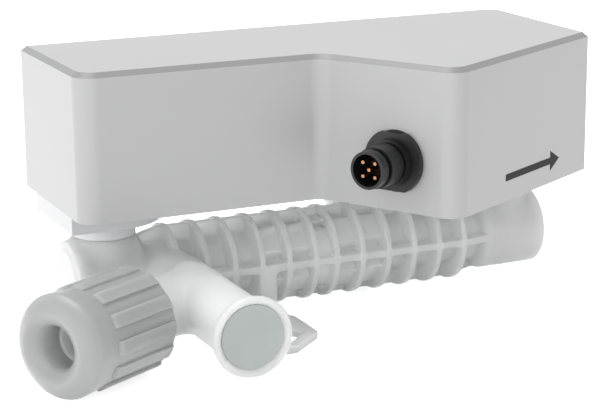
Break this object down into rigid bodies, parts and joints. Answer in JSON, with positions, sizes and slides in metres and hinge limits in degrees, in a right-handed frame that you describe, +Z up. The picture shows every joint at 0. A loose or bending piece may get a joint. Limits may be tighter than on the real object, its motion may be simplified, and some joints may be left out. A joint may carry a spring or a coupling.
{
  "type": "ultrasonic flow meter",
  "caption": "Translucent moulded pipe section with ribbed measuring tube, angled ports with union nuts, and a grey electronics housing with a round plug.",
  "frame": {"origin": "middle of the meter in plan, on the plane of the two feet", "axes": "+X along the measuring tube from inlet to outlet, +Y away from the plug's side, +Z up"},
  "size_m": [0.2144, 0.1448, 0.0824],
  "materials": {
    "fluoropolymer": "translucent satin",
    "nut_plastic": "slightly translucent satin",
    "cover_plastic": "satin",
    "collar_plastic": "satin",
    "cup_plastic": "matt",
    "piezo_ceramic": "silvered ceramic",
    "backing_resin": "cast resin",
    "cable_jacket": "matt",
    "seal_rubber": "matt",
    "steel": "plain",
    "board": "lacquered",
    "component_black": "moulded",
    "capacitor_can": "drawn can",
    "header_plastic": "moulded",
    "plug_black": "black satin",
    "insert_black": "moulded",
    "contact_gold": "gold plated"
  },
  "bodies": {
    "meter": {"base_plate": "cover_plastic", "board_capacitors": "capacitor_can", "board_screws": "steel", "circuit_board": "board", "cover": "cover_plastic", "cover_gasket": "seal_rubber", "cover_screws": "steel", "flow_body": "fluoropolymer", "inlet_backing": "backing_resin", "inlet_branch_plug": "fluoropolymer", "inlet_end_cap": "fluoropolymer", "inlet_neck_collar": "collar_plastic", "inlet_neck_nut": "collar_plastic", "inlet_neck_seal": "seal_rubber", "inlet_piezo_disc": "piezo_ceramic", "inlet_spacer_ring": "cup_plastic", "inlet_transducer_cable": "cable_jacket", "inlet_transducer_cup": "cup_plastic", "outlet_backing": "backing_resin", "outlet_branch_plug": "fluoropolymer", "outlet_end_cap": "fluoropolymer", "outlet_neck_collar": "collar_plastic", "outlet_neck_nut": "collar_plastic", "outlet_neck_seal": "seal_rubber", "outlet_piezo_disc": "piezo_ceramic", "outlet_spacer_ring": "cup_plastic", "outlet_transducer_cable": "cable_jacket", "outlet_transducer_cup": "cup_plastic", "plug_header": "header_plastic", "plug_insert": "insert_black", "plug_leads": "cable_jacket", "plug_nut": "plug_black", "plug_pins": "contact_gold", "plug_seal": "seal_rubber", "plug_shell": "plug_black", "power_coil": "component_black", "processor_chip": "component_black", "transducer_headers": "header_plastic"},
    "inlet_nut": {"inlet_nut": "nut_plastic"},
    "outlet_nut": {"outlet_nut": "nut_plastic"}
  },
  "joints": [
    {"name": "inlet_nut_turn", "type": "hinge", "parent": "meter", "child": "inlet_nut", "pos_m": [-0.0866, -0.05, 0.0156], "axis": [-0.866, -0.5, 0], "range_deg": [0, 1700]},
    {"name": "outlet_nut_turn", "type": "hinge", "parent": "meter", "child": "outlet_nut", "pos_m": [0.0866, 0.05, 0.0156], "axis": [0.866, 0.5, 0], "range_deg": [0, 1700]}
  ]
}
